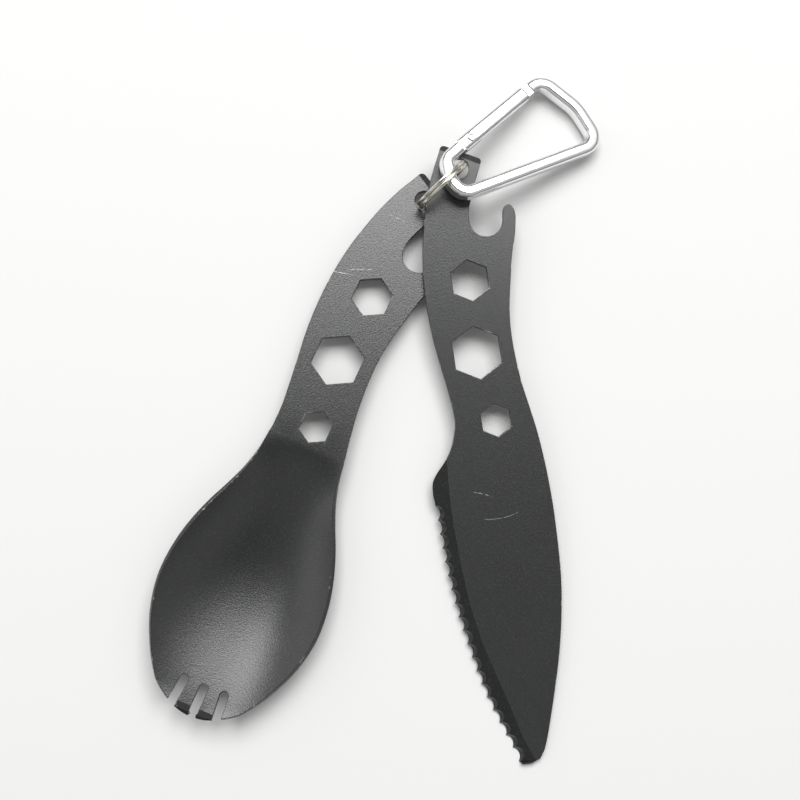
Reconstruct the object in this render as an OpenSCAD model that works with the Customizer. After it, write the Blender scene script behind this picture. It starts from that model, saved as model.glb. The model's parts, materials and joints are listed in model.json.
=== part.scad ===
// Picnic cutlery set: a spork and a serrated knife on a split ring with a small D carabiner.
// +Z up, the set lies on z = 0. +Y runs towards the ring end, +X towards the knife's side.

/* [Blanks] */
// Sheet thickness of the spork and the knife, mm
sheet = 1.7; // [1.2:0.1:2.4]
// Diameter of the ring hole in each handle, mm
ring_hole_d = 5.6; // [5:0.1:7]
// Width of the ground chisel end, mm
chisel_w = 1.8; // [1:0.1:3]
// Thickness left at the chisel edge, mm
chisel_edge = 0.5; // [0.3:0.1:1]
// Radius of the opener notch, mm
notch_r = 4.8; // [3.5:0.1:5.5]

/* [Wrench holes] */
// Small wrench size across flats, mm
hex_small = 8; // [6:0.5:9]
// Medium wrench size across flats, mm
hex_medium = 10; // [9:0.5:11]
// Large wrench size across flats, mm
hex_large = 13; // [12:0.5:14]
// Room added to each wrench size, mm
hex_room = 0.2; // [0:0.05:0.4]

/* [Spork] */
// Overall bowl width, mm
bowl_w = 48; // [42:0.5:52]
// Depth of the bowl below the handle, mm
bowl_depth = 7.4; // [5:0.2:10]
// Width of the slots between the tines, mm
tine_slot = 2.5; // [1.6:0.1:3]
// Depth of the slots between the tines, mm
tine_depth = 8; // [5:0.5:10]

/* [Knife] */
// Pitch of the serrations, mm
tooth_pitch = 4; // [3:0.2:6]
// Depth of the serrations, mm
tooth_depth = 1; // [0.6:0.1:1.6]
// Thickness left at the cutting edge, mm
edge_t = 0.35; // [0.2:0.05:0.8]

/* [Split ring] */
// Outside diameter, mm
ring_od = 18.2; // [17:0.1:22]
// Wire size across the ring, mm
wire_w = 1.4; // [1:0.1:1.8]
// Wire size along the ring's axis, mm
wire_t = 1.05; // [0.8:0.05:1.3]
// Gap between the two turns, mm
turn_gap = 0.06; // [0.04:0.01:0.2]

/* [Carabiner] */
// Bar width in the plane of the carabiner, mm
bar_w = 3.7; // [3:0.1:4.2]
// Bar thickness, mm
bar_t = 4.6; // [3.4:0.1:5]
// Gate width, mm
gate_d = 4.4; // [4:0.1:4.8]
// Gate length in front of the rivet, mm
gate_len = 22; // [18:0.5:24]
// Thickness of the hinge tongue and the nose tongue, mm
tongue_t = 1.3; // [1:0.1:1.6]
// Room each side of a tongue in its slot, mm
slot_room = 0.15; // [0.1:0.05:0.4]
// Rivet shank diameter, mm
rivet_d = 1.4; // [1.2:0.1:1.8]
// Rivet head diameter, mm
head_d = 2.6; // [2.2:0.1:3]
// Running room round the rivet in the gate, radial, mm
run_room = 0.05; // [0.02:0.01:0.1]
// Bore in the gate for the spring and the plunger, mm
bore_d = 2.1; // [1.8:0.1:2.4]
// Diameter of the spring wire, mm
spring_wire = 0.3; // [0.2:0.05:0.4]
// Number of turns in the spring
spring_turns = 8; // [5:1:12]

/* [Hidden] */
$fn = 48;
e = 0.01;
hole_at = [2.8, 31.7];
hex_at = [[0, 0], [-1.8, -20.5], [0, -40.3]];
hex_af = [hex_medium, hex_large, hex_small];
neck_y = -45;
neck_l = -11.3;
neck_r = 11.1;
// how each piece lies, measured at its ring hole
spork_hole = [12.87, 61.83];
spork_turn = -23.1;
spork_z = 2.65;
knife_turn = 10.65;
knife_z = 7.0;
knife_tip_y = -137;
ring_r = ring_od / 2 - wire_w / 2;
ring_turn = 43.5;
ring_lean = 5;
ring_z = ring_od / 2 * cos(ring_lean) + (wire_t + turn_gap / 2) * sin(ring_lean);
d_ring = [cos(ring_turn), sin(ring_turn)];
n_ring = [-sin(ring_turn), cos(ring_turn)];
spork_slope = asin((bowl_depth - spork_z - 0.08) / (hole_at[1] + 93));
knife_slope = asin(knife_z / (hole_at[1] - knife_tip_y));
spork_drop = ring_z - spork_z - sheet / 2;
knife_drop = ring_z - knife_z - sheet / 2;
s_spork = sqrt(ring_r * ring_r - spork_drop * spork_drop);
s_knife = sqrt(ring_r * ring_r - knife_drop * knife_drop);
play_spork = 0.45;
play_knife = 1.35;
ring_xy = spork_hole + d_ring * (s_spork - play_spork) - n_ring * (spork_drop * sin(ring_lean) + 0.2);
knife_hole = ring_xy + d_ring * (s_knife - play_knife) + n_ring * knife_drop * sin(ring_lean);
bar_at = [19.61, 69.13, 12.74];
car_turn = 29.5;
car_tilt = 13.7;
car_roll = -1;
rivet_at = [9.7, 4.95];
gate_turn = 12.6;
gate_r = gate_d / 2;
flat_z = gate_r - 0.2;
slot_half = tongue_t / 2 + slot_room;
heel_x = 1.9;
nose_len = 2.7;
plunge_gap = 0.1;
plunger_len = 2.6;
bore_end = 13.5;

function unit(v) = v / norm(v);
// an arc that rounds corner p between its neighbours a and b
function round_corner(a, p, b, r, n = 5) =
  let (u = unit(a - p), v = unit(b - p), h = acos(u * v) / 2, t = r / tan(h),
       c = p + unit(u + v) * r / sin(h), p1 = p + u * t - c, p2 = p + v * t - c,
       a1 = atan2(p1[1], p1[0]), d = atan2(p1[0] * p2[1] - p1[1] * p2[0], p1 * p2))
  [for (i = [0:n]) c + r * [cos(a1 + d * i / n), sin(a1 + d * i / n)]];
// outline through corners [x, y, radius]
function rounded(pts) = let (m = len(pts)) [for (i = [0:m - 1])
  let (p = pts[i], a = pts[(i + m - 1) % m], b = pts[(i + 1) % m])
  each p[2] > 0
    ? round_corner([a[0], a[1]], [p[0], p[1]], [b[0], b[1]], p[2]) : [[p[0], p[1]]]];
// smooth open curve through points
function at(p, i) = p[max(0, min(len(p) - 1, i))];
function curve(p, n = 4) = [for (i = [0:len(p) - 2], k = [0:n - 1]) let (t = k / n)
  0.5 * (2 * p[i] + (p[i + 1] - at(p, i - 1)) * t
    + (2 * at(p, i - 1) - 5 * p[i] + 4 * p[i + 1] - at(p, i + 2)) * t * t
    + (3 * p[i] - at(p, i - 1) - 3 * p[i + 1] + at(p, i + 2)) * t * t * t)];
// a closed solid from points and faces
module facets(pts, faces, convexity = 8) {
  polyhedron(pts, [for (f = faces) rev(f)], convexity = convexity);
}
function rev(p) = [for (i = [len(p) - 1:-1:0]) p[i]];

// ---- the handle that both pieces share, ring end up ----
end_a = [-0.9, 39.6];
end_b = [9.8, 33.5];
left_side = [[-2.6, 36.2], [-5.2, 31.2], [-8.0, 24.2], [-10.2, 16.8], [-11.7, 10.6],
  [-13.0, 2], [-13.5, -7], [-13.3, -16], [-12.5, -24], [-11.8, -31]];
right_side = [[10.0, -38], [9.1, -31], [8.7, -22], [9.0, -14.5],
  [10.0, -8], [11.4, -2], [13.0, 4.5], [15.0, 10.5], [16.2, 15.6]];
hook = [[16.2, 15.8], [16.1, 17.6], [15.5, 18.9], [14.6, 19.4], [13.6, 19.0], [12.9, 17.9], [12.5, 16.2]];
upper_right = [[2.95, 16.6], [3.2, 19.0], [4.5, 22.5], [6.9, 27.8]];
end_round = concat(
  round_corner(upper_right[3], end_b, end_a, 1.1),
  round_corner(end_b, end_a, left_side[0], 1.2));

// the left edge runs on into left_on, and the right edge comes up from right_from
module handle_2d(left_on, below, right_from) {
  difference() {
    polygon(concat(end_round, curve(concat(left_side, left_on)), below,
      curve(concat(right_from, right_side)), hook, upper_right));
    translate([7.7, 16.2]) circle(notch_r);
    translate(hole_at) circle(ring_hole_d / 2);
    for (i = [0:2]) translate(hex_at[i]) rotate(28)
      circle((hex_af[i] + hex_room) / 2 / cos(30), $fn = 6);
  }
}
// the chisel grind along the slanted end, on the upper face
module chisel() {
  run = end_b - end_a;
  translate([end_a[0], end_a[1], 0]) rotate(atan2(run[1], run[0]))
    rotate([90, 0, 90]) translate([0, 0, -6]) linear_extrude(norm(run) + 12)
      polygon([[-chisel_w, sheet + e], [1, sheet + e],
        [1, chisel_edge - (sheet - chisel_edge) / chisel_w], [0, chisel_edge]]);
}
module lay(hole, z, turn, slope) {
  translate([hole[0], hole[1], z]) rotate(turn) rotate([slope, 0, 0])
    translate([-hole_at[0], -hole_at[1], 0]) children();
}

// ---- spork: flat handle, pressed bowl, four tines ----
// half width of the bowl against y
edge_y = [-44, -45, -52, -58, -64, -70, -76, -82, -88, -94, -100, -106, -111, -115.5, -119.5, -121.8,
  -123.9, -125.4, -126.4, -126.9];
edge_x = [11.0, 11.25, 12.4, 14.0, 16.4, 19.1, 21.3, 22.9, 23.8, 24.0, 23.2, 21.5, 19.3, 16.9, 14.2, 12.2,
  9.2, 6.4, 3.6, 0.8];
rows = curve([for (i = [0:len(edge_y) - 1]) [edge_y[i], edge_x[i] * bowl_w / 48]], 2);
bowl_rows = concat(rows, [[edge_y[len(edge_y) - 1], edge_x[len(edge_x) - 1] * bowl_w / 48]]);
across = 18;
tine_bevel_y = -123.8;
tine_bevel = 14;
rim_in = 0.7;
// how deep the middle of the bowl is at y, and the rim's own gentle sweep
function dish(y) = let (t = (neck_y - 1 - y) / 83, u = max(0, min(1, t)))
  pow(sin(180 * pow(u, 0.82)), 1.25) * 1.06 * u / (u + 0.06);
function drop(y, q) = bowl_depth * dish(y) * (1 - pow(abs(q), 2.3));
module bowl_sheet() {
  n = len(bowl_rows);
  m = across + 1;
  face = [for (r = bowl_rows, j = [0:across]) let (q = 2 * j / across - 1)
    [q * r[1] - 0.1, r[0], -drop(r[0], q)]];
  // the sheet turns up at the rim, so its upper face is a little narrower
  pts = concat(face, [for (p = face) [p[0] * (1 - rim_in * dish(p[1]) / 24), p[1], p[2] + sheet]]);
  o = n * m;
  quads = [for (i = [0:n - 2], j = [0:across - 1])
    [i * m + j, i * m + j + 1, (i + 1) * m + j + 1, (i + 1) * m + j]];
  ring = concat([for (j = [0:across]) j], [for (i = [1:n - 1]) i * m + across],
    [for (j = [across - 1:-1:0]) (n - 1) * m + j], [for (i = [n - 2:-1:1]) i * m]);
  facets(pts, concat(
    [for (q = quads) each [[q[0], q[1], q[2]], [q[0], q[2], q[3]]]],
    [for (q = quads) each [[o + q[2], o + q[1], o + q[0]], [o + q[3], o + q[2], o + q[0]]]],
    [for (k = [0:len(ring) - 1]) let (a = ring[k], b = ring[(k + 1) % len(ring)])
      each [[b, a, o + a], [b, o + a, o + b]]]), convexity = 6);
}
module spork() {
  color("dimgray") lay(spork_hole, spork_z, spork_turn, -spork_slope) difference() {
    union() {
      linear_extrude(sheet) handle_2d([[-11.2, -38], [neck_l, neck_y]], [[neck_l, neck_y]], [[neck_r, neck_y]]);
      bowl_sheet();
    }
    chisel();
    // slots between the tines, with round inner ends
    for (s = [-1, 0, 1]) translate([0.3 + s * 6.1, -118.5 - 0.3 * (1 - abs(s)), -12]) rotate(s * 6) {
      cylinder(h = 24, r = tine_slot / 2);
      translate([-tine_slot / 2, -tine_depth - 4, 0]) cube([tine_slot, tine_depth + 4, 24]);
    }
    // ground ends of the two middle tines
    translate([-6, tine_bevel_y, sheet - 0.7]) rotate([tine_bevel, 0, 0]) translate([0, -6, 0])
      cube([12.6, 6, 4]);
  }
}

// ---- knife: flat plate, one ground face, scalloped edge ----
knife_spine = [[-3.8, -134.2], [-2.6, -131.6], [-0.6, -126.3], [2.1, -118.6], [4.6, -111.0],
  [6.9, -102.7], [8.8, -94], [10.1, -85.7], [10.9, -76.5], [11.45, -66.6], [11.5, -57.8], [11.3, -51.5], [10.85, -45]];
tip_round = [[-11.4, -136.2], [-10.4, -137.0], [-7.8, -137.2], [-5.4, -136.3]];
heel = [[-11.5, -38], [-12.4, -42], [-14.0, -45.8], [-16.4, -49.2], [-19.3, -52.2], [-20.9, -54.6],
  [-21.4, -57.6], [-21.3, -60.2]];
edge_line = curve([[-21.3, -60.2], [-21.6, -68], [-21.7, -76], [-21.5, -83.8], [-20.9, -91.7],
  [-19.9, -99.7], [-18.7, -107.9], [-17.2, -115.9], [-15.1, -123.6], [-12.7, -131.3], [-11.3, -135.9]], 4);
grind_in = curve([[-15.6, -47.5], [-16.9, -59.4], [-17.3, -71.2], [-17.0, -86.9], [-15.6, -99.6],
  [-13.3, -110.1], [-11.0, -120.0], [-8.9, -129.8], [-6.2, -137.4]], 4);
grind_out = curve([[-19.2, -47.5], [-21.9, -59.4], [-22.2, -71.2], [-21.8, -86.9], [-20.4, -99.6],
  [-18.6, -110.1], [-16.5, -120.0], [-13.7, -129.8], [-11.6, -137.4]], 4);
// the wedge taken off the upper face, out past the cutting edge
module grind() {
  n = len(grind_in);
  pts = [for (i = [0:n - 1]) let (a = grind_in[i], b = grind_out[i], c = a + (b - a) * 1.5,
      z = sheet - (sheet - edge_t) * 1.5)
    each [[a[0], a[1], sheet + 0.02], [c[0], c[1], z], [c[0], c[1], sheet + 1], [a[0], a[1], sheet + 1]]];
  facets(pts, concat([[0, 1, 2], [0, 2, 3]],
    [for (i = [0:n - 2], k = [0:3]) let (a = 4 * i + k, b = 4 * i + (k + 1) % 4)
      each [[a, a + 4, b + 4], [a, b + 4, b]]],
    [[4 * n - 4, 4 * n - 2, 4 * n - 3], [4 * n - 4, 4 * n - 1, 4 * n - 2]]), convexity = 6);
}
tooth_r = (tooth_pitch * tooth_pitch / 4 / tooth_depth + tooth_depth) / 2;
function run_to(p, i) = i == 0 ? 0 : run_to(p, i - 1) + norm(p[i] - p[i - 1]);
function point_at(p, s, i = 0) = let (d = norm(p[i + 1] - p[i]))
  s <= d || i >= len(p) - 2 ? [p[i] + (p[i + 1] - p[i]) * s / d, unit(p[i + 1] - p[i])]
    : point_at(p, s - d, i + 1);
teeth = floor((run_to(edge_line, len(edge_line) - 1) - 1) / tooth_pitch);
module knife() {
  color("dimgray") lay(knife_hole, knife_z, knife_turn, knife_slope) difference() {
    linear_extrude(sheet) handle_2d(heel, concat(edge_line, tip_round), knife_spine);
    chisel();
    grind();
    for (i = [0:teeth - 1]) let (q = point_at(edge_line, 1 + (i + 0.5) * tooth_pitch), p = q[0], u = q[1])
      translate([p[0] + u[1] * (tooth_r - tooth_depth), p[1] - u[0] * (tooth_r - tooth_depth), -1])
        cylinder(h = sheet + 2, r = tooth_r, $fn = 32);
  }
}

// ---- split ring: one wire, two turns, with a step where it crosses over ----
coil = wire_t + turn_gap;
function turn_side(a) = let (t = max(-1, min(1, (a - 360) / 22))) coil / 2 * sin(90 * t);
module split_ring() {
  first = 24;
  steps = 112;
  c = 0.28;
  w = wire_w / 2;
  t = wire_t / 2;
  sec = [[w - c, -t], [w, -t + c], [w, t - c], [w - c, t], [-w + c, t], [-w, t - c], [-w, -t + c], [-w + c, -t]];
  pts = [for (i = [0:steps]) let (a = first + (720 - 2 * first) * i / steps, b = a + 200)
    for (s = sec) [(ring_r + s[0]) * cos(b), turn_side(a) + s[1], (ring_r + s[0]) * sin(b)]];
  color("lightgray") translate([ring_xy[0], ring_xy[1], ring_z]) rotate(ring_turn) rotate([ring_lean, 0, 0])
    facets(pts, concat([[for (k = [7:-1:0]) k]],
      [for (i = [0:steps - 1], k = [0:7]) let (a = 8 * i + k, b = 8 * i + (k + 1) % 8)
        each [[a, b, b + 8], [a, b + 8, a + 8]]],
      [[for (k = [0:7]) 8 * steps + k]]), convexity = 8);
}

// ---- carabiner ----
// centre line of the bar: corners [x, y, radius], from the hinge shoulder round to the nose
bar_path = [[5.4, 3.95, 0], [0.2, 2.6, 3.2], [-1.9, -3.2, 5], [-0.9, -8.4, 4.2], [44.4, -12.9, 4.2],
  [43.8, -0.6, 13], [38.4, 11.36, 4.6], [31.66, 9.86, 0]];
function pt(i) = [bar_path[i][0], bar_path[i][1]];
last = len(bar_path) - 1;
bar_line = concat([pt(0)], [for (i = [1:last - 1])
  each round_corner(pt(i - 1), pt(i), pt(i + 1), bar_path[i][2], 7)], [pt(last)]);
// rounded section, [in the plane, across it]
bar_round = 1.25;
bar_section = [for (q = [[1, 1], [-1, 1], [-1, -1], [1, -1]], k = [0:3]) let (a = atan2(q[1], q[0]) - 45 + 30 * k)
  [q[0] * (bar_w / 2 - bar_round) + bar_round * cos(a), q[1] * (bar_t / 2 - bar_round) + bar_round * sin(a)]];
module bar() {
  m = len(bar_section);
  n = len(bar_line);
  pts = [for (i = [0:n - 1]) let (u = i == 0 ? unit(bar_line[1] - bar_line[0])
      : i == n - 1 ? unit(bar_line[n - 1] - bar_line[n - 2])
      : unit(unit(bar_line[i] - bar_line[i - 1]) + unit(bar_line[i + 1] - bar_line[i])))
    for (s = bar_section) [bar_line[i][0] + u[1] * s[0], bar_line[i][1] - u[0] * s[0], s[1]]];
  facets(pts, concat([[for (k = [0:m - 1]) k]],
    [for (i = [0:n - 2], k = [0:m - 1]) let (a = m * i + k, b = m * i + (k + 1) % m)
      each [[a, b + m, b], [a, a + m, b + m]]],
    [[for (k = [m - 1:-1:0]) m * (n - 1) + k]]));
}
module at_gate() { translate([rivet_at[0], rivet_at[1], 0]) rotate(gate_turn) children(); }
module at_carabiner() {
  translate(bar_at) rotate(car_turn) rotate([0, car_tilt, 0]) rotate([car_roll, 0, 0]) children();
}
module carabiner_body() {
  color("silver") at_carabiner() {
    difference() {
      bar();
      // the shoulder and the nose are cut square to the gate
      at_gate() translate([-4.05, -4, -5]) cube([gate_len + 4.05 + nose_len, 8, 10]);
    }
    // hinge tongue, rounded at the rivet
    difference() {
      at_gate() translate([0, 0, -tongue_t / 2]) {
        translate([-5.5, -1.45, 0]) cube([5.5 + heel_x, 2.9, tongue_t]);
      }
      at_gate() translate([0, 0, -2]) cylinder(h = 4, r = rivet_d / 2);
    }
    // nose block, and the tongue that reaches into the gate
    at_gate() translate([gate_len + 0.45, -1.6, -1.8]) cube([nose_len, 3.2, 3.6]);
    at_gate() translate([gate_len - 1.6, -1.05, -tongue_t / 2]) cube([4, 2.1, tongue_t]);
  }
}
module carabiner_gate() {
  color("silver") at_carabiner() at_gate() difference() {
    intersection() {
      translate([-3.7, 0, 0]) rotate([0, 90, 0]) linear_extrude(gate_len + 3.7 + 0.2)
        offset(r = bar_round, $fn = 24) square([gate_d - 0.4 - 2 * bar_round, gate_d - 2 * bar_round], center = true);
      union() {
        // milled flats at the rivet, and a round hinge end
        translate([0, 0, -flat_z]) cylinder(h = 2 * flat_z, r = 3.55);
        translate([2, -4, -4]) cube([gate_len, 8, 8]);
      }
    }
    translate([-6, -4, -slot_half]) cube([6 + heel_x + 0.5, 8, 2 * slot_half]);
    translate([0, 0, -4]) cylinder(h = 8, r = rivet_d / 2 + run_room);
    // spring bore
    rotate([0, 90, 0]) cylinder(h = bore_end, r = bore_d / 2);
    // nose slot, closed on the inner side
    translate([gate_len - 1.9, -1.35, -slot_half]) cube([6, 8, 2 * slot_half]);
  }
}
module gate_rivet() {
  color("gray") at_carabiner() at_gate() {
    cylinder(h = 2 * flat_z + 0.4, r = rivet_d / 2, center = true);
    for (s = [0, 1]) mirror([0, 0, s]) translate([0, 0, flat_z + 0.1]) difference() {
      cylinder(h = 0.45, r1 = head_d / 2, r2 = head_d / 2 - 0.25);
      translate([0, 0, 0.25]) cylinder(h = 1, r1 = 0.4, r2 = 0.75);
    }
  }
}
module spring_plunger() {
  color("gray") at_carabiner() at_gate() translate([heel_x + plunge_gap, 0, 0]) rotate([0, 90, 0])
    cylinder(h = plunger_len, r = bore_d / 2 - run_room);
}
module gate_spring() {
  x0 = heel_x + plunge_gap + plunger_len + spring_wire / 2 + 0.1;
  x1 = bore_end - spring_wire / 2 - 0.1;
  sr = bore_d / 2 - run_room - spring_wire / 2;
  n = 12 * spring_turns;
  m = 6;
  pts = [for (i = [0:n], k = [0:m - 1]) let (a = 360 * spring_turns * i / n, b = 360 * k / m,
      r = sr + spring_wire / 2 * cos(b))
    [x0 + (x1 - x0) * i / n + spring_wire / 2 * sin(b), r * cos(a), r * sin(a)]];
  color("gray") at_carabiner() at_gate() facets(pts, concat([[for (k = [0:m - 1]) k]],
    [for (i = [0:n - 1], k = [0:m - 1]) let (a = m * i + k, b = m * i + (k + 1) % m)
      each [[a, b + m, b], [a, a + m, b + m]]],
    [[for (k = [m - 1:-1:0]) m * n + k]]), convexity = 10);
}

spork();
knife();
split_ring();
carabiner_body();
carabiner_gate();
gate_rivet();
spring_plunger();
gate_spring();
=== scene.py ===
# %% [markdown]
# # Picnic cutlery on a split ring
# A black coated spork and a black coated knife hang on a small split ring with an aluminium carabiner.
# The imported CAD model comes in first. It fixes where everything is, and its joints say how it moves.
# Every visible piece below is then built at full detail in the same frame, in metres.

# %% Load the frame
import json
from math import asin, atan2, cos, pi, radians, sin, sqrt, tan

import bmesh
import bpy
from mathutils import Matrix, Vector


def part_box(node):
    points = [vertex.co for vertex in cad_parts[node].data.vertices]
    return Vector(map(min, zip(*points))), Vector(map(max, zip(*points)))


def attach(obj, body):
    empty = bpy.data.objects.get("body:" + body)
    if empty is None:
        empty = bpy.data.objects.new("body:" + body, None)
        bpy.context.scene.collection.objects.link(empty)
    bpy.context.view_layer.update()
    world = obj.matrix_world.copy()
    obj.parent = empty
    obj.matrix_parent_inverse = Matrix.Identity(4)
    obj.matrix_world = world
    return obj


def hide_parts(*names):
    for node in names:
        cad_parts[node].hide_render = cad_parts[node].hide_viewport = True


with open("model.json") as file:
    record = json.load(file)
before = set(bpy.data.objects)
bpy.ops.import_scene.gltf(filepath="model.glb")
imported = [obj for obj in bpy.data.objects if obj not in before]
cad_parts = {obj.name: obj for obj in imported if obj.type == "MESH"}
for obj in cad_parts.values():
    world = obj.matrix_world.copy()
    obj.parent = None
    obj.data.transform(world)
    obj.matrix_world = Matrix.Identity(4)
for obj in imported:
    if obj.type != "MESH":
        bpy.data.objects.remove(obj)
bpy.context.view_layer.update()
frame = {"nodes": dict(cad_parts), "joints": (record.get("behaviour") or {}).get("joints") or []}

mm = 0.001
cut_gap = 0.001 * mm  # a cut passes through a point that is nearer than this
joint = {j["name"]: j for j in frame["joints"]}

# %% [markdown]
# ## Lines
# Stamped parts are drawn as flat outlines, in millimetres. A few small helpers are enough: one runs a
# smooth curve through some points, one rounds a corner with a true arc, and two give arcs and circles. A
# maker draws the same outline with splines and fillets.

# %% Smooth lines and rounded corners
def smooth(points, steps=6):
    """A Catmull-Rom curve through the points, without its last point."""
    at = lambda i: Vector(points[max(0, min(len(points) - 1, i))])
    made = []
    for i in range(len(points) - 1):
        a, b, c, d = at(i - 1), at(i), at(i + 1), at(i + 2)
        for t in (k / steps for k in range(steps)):
            made.append(0.5 * (2 * b + (c - a) * t + (2 * a - 5 * b + 4 * c - d) * t**2
                               + (3 * b - a - 3 * c + d) * t**3))
    return [tuple(p) for p in made]


def fillet(a, p, b, radius, steps=6):
    """The arc that rounds corner p between a and b."""
    a, p, b = Vector(a), Vector(p), Vector(b)
    u, v = (a - p).normalized(), (b - p).normalized()
    half = u.angle(v) / 2
    middle = p + (u + v).normalized() * radius / sin(half)
    start, end = (p + u * radius / tan(half)) - middle, (p + v * radius / tan(half)) - middle
    first, turn = atan2(start.y, start.x), -start.angle_signed(end)
    angles = [first + turn * i / steps for i in range(steps + 1)]
    return [(middle.x + radius * cos(a), middle.y + radius * sin(a)) for a in angles]


def arc(middle, radius, first, last, steps):
    """Points on a circle, angles in degrees."""
    return [(middle[0] + radius * cos(radians(first + (last - first) * i / steps)),
             middle[1] + radius * sin(radians(first + (last - first) * i / steps))) for i in range(steps + 1)]


def circle(middle, radius, steps=48):
    return arc(middle, radius, 0, 360 - 360 / steps, steps - 1)


print("a quarter circle in", len(arc((0, 0), 1, 0, 90, 6)), "points")

# %% [markdown]
# ## One stamped sheet
# Both pieces are punched from 1.7 mm steel, and tumbling breaks the sharp arrises to a tiny round. A
# filled curve object gives that in one go: it fills the outline, leaves the holes open, has a thickness
# and bevels its own rim. A modelled box with boolean holes would need the bevel added to every hole
# afterwards. Two face attributes remember the bevels and the cut walls, so that the coating can wear
# through on the first and stay duller on the second.

# %% Punch a sheet
sheet, arris = 1.7, 0.18
weld_gap, flat_turn = 0.004, 0.3
# a normal's z is below the first on a cut wall, and above the others on a flat face
upright, level, quite_level = 0.1, 0.995, 0.999


def punch(name, outline, holes):
    """A flat sheet with holes, with its lower face on z = 0."""
    curve = bpy.data.curves.new(name, "CURVE")
    curve.dimensions, curve.fill_mode = "2D", "BOTH"
    for loop in [outline, *holes]:
        line = curve.splines.new("POLY")
        line.points.add(len(loop) - 1)
        line.points.foreach_set("co", [c for x, y in loop for c in (x * mm, y * mm, 0, 1)])
        line.use_cyclic_u = True
    curve.extrude, curve.bevel_depth = (sheet / 2 - arris) * mm, arris * mm
    curve.offset, curve.bevel_resolution = -arris * mm, 1
    drawn = bpy.data.objects.new(name, curve)
    bpy.context.scene.collection.objects.link(drawn)
    made = bmesh.new()
    made.from_mesh(drawn.to_mesh())
    bpy.data.objects.remove(drawn)
    bmesh.ops.remove_doubles(made, verts=made.verts, dist=weld_gap * mm)
    bmesh.ops.translate(made, verts=made.verts, vec=(0, 0, sheet / 2 * mm))
    rim, wall = made.faces.layers.float.new("arris"), made.faces.layers.float.new("cut_wall")
    for face in made.faces:
        face.normal_update()
        face[rim] = 1.0 if upright < abs(face.normal.z) < level else 0.0
        face[wall] = 1.0 if abs(face.normal.z) <= upright else 0.0
    flat = [e for e in made.edges if all(abs(f.normal.z) > quite_level for f in e.link_faces)]
    bmesh.ops.dissolve_limit(made, angle_limit=radians(flat_turn), verts=made.verts[:], edges=flat)
    return made


# %% [markdown]
# ## The shared handle
# The two handles are the same blank: a slanted chisel end, a ring hole, a bottle opener notch with a
# hook, and three hexagonal wrench holes. Drawing it once keeps the pair alike, as one press tool does.

# %% Draw the handle
ring_hole = (2.8, 31.7)
ring_hole_r = 2.8
wrench_holes = [((0, 0), 10), ((-1.8, -20.5), 13), ((0, -40.3), 8)]
wrench_room, wrench_turn = 0.2, 28
notch, notch_r = (7.7, 16.2), 4.8
neck_left, neck_right = (-11.3, -45), (11.1, -45)
end_left, end_right = (-0.9, 39.6), (9.8, 33.5)
left_corner_r, right_corner_r = 1.2, 1.1
left_side = [(-2.6, 36.2), (-5.2, 31.2), (-8, 24.2), (-10.2, 16.8), (-11.7, 10.6), (-13, 2), (-13.5, -7),
             (-13.3, -16), (-12.5, -24), (-11.8, -31)]
right_side = [(10, -38), (9.1, -31), (8.7, -22), (9, -14.5), (10, -8), (11.4, -2), (13, 4.5),
              (15, 10.5), (16.2, 15.6)]
hook = [(16.2, 15.8), (16.1, 17.6), (15.5, 18.9), (14.6, 19.4), (13.6, 19), (12.9, 17.9), (12.5, 16.2)]
upper_right = [(2.95, 16.6), (3.2, 19), (4.5, 22.5), (6.9, 27.8)]


def handle(left_on, below, right_from):
    """The outline, down its left side, round what is below the neck, and up its right side."""
    return (fillet(upper_right[-1], end_right, end_left, right_corner_r)
            + fillet(end_right, end_left, left_side[0], left_corner_r)
            + smooth(left_side + left_on) + below + smooth(right_from + right_side) + smooth(hook, 3)
            + arc(notch, notch_r, 0, -184, 24) + smooth(upper_right, 4) + [upper_right[-1]])


def handle_holes():
    """The round ring hole and the hexagons, which are drawn by the distance across their flats."""
    holes = [circle(ring_hole, ring_hole_r)]
    for middle, flats in wrench_holes:
        corner = (flats + wrench_room) / 2 / cos(radians(30))
        holes.append(arc(middle, corner, wrench_turn, wrench_turn + 300, 5))
    return holes


print("handle outline:", len(handle([neck_left], [], [neck_right])), "points")

# %% [markdown]
# ## Grinding
# A ground facet is a plane that lowers the upper face. A cut across the mesh gives it a crisp starting
# line, and the points past that line drop onto the plane. The chisel end and the ends of the middle tines
# are made like this.

# %% Grind a facet
def grind_past(mesh, start, outward, slope, top, width=None):
    """Lowers what lies past the line through start, square to outward, by slope for each millimetre."""
    away = Vector((*outward, 0)).normalized()
    start = Vector((*start, 0)) * mm
    everything = mesh.verts[:] + mesh.edges[:] + mesh.faces[:]
    bmesh.ops.bisect_plane(mesh, geom=everything, plane_co=start, plane_no=away, dist=cut_gap)
    for v in mesh.verts:
        past = (v.co - start).dot(away)
        if past > 0 and (width is None or abs(v.co.x) < width * mm):
            v.co.z = min(v.co.z, top * mm - slope * past)


chisel_w, chisel_edge = 1.8, 0.5


def grind_chisel(mesh):
    run = Vector(end_right) - Vector(end_left)
    outward = Vector((-run.y, run.x)).normalized()
    grind_past(mesh, Vector(end_left) - outward * chisel_w, outward, (sheet - chisel_edge) / chisel_w, sheet)


# %% [markdown]
# ## Where a piece lies
# Each handle hangs on the ring, so it is placed at its ring hole and tips by a little over two degrees,
# until its far end is on the table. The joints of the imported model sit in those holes, so the places come
# from them.

# %% Place a piece by its ring hole
def lay(joint_name, height, turn, slope):
    x, y, _ = joint[joint_name]["pos_m"]
    hole_first = Matrix.Translation((-ring_hole[0] * mm, -ring_hole[1] * mm, 0))
    return (Matrix.Translation((x, y, height * mm)) @ Matrix.Rotation(radians(turn), 4, "Z")
            @ Matrix.Rotation(slope, 4, "X") @ hole_first)


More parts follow.
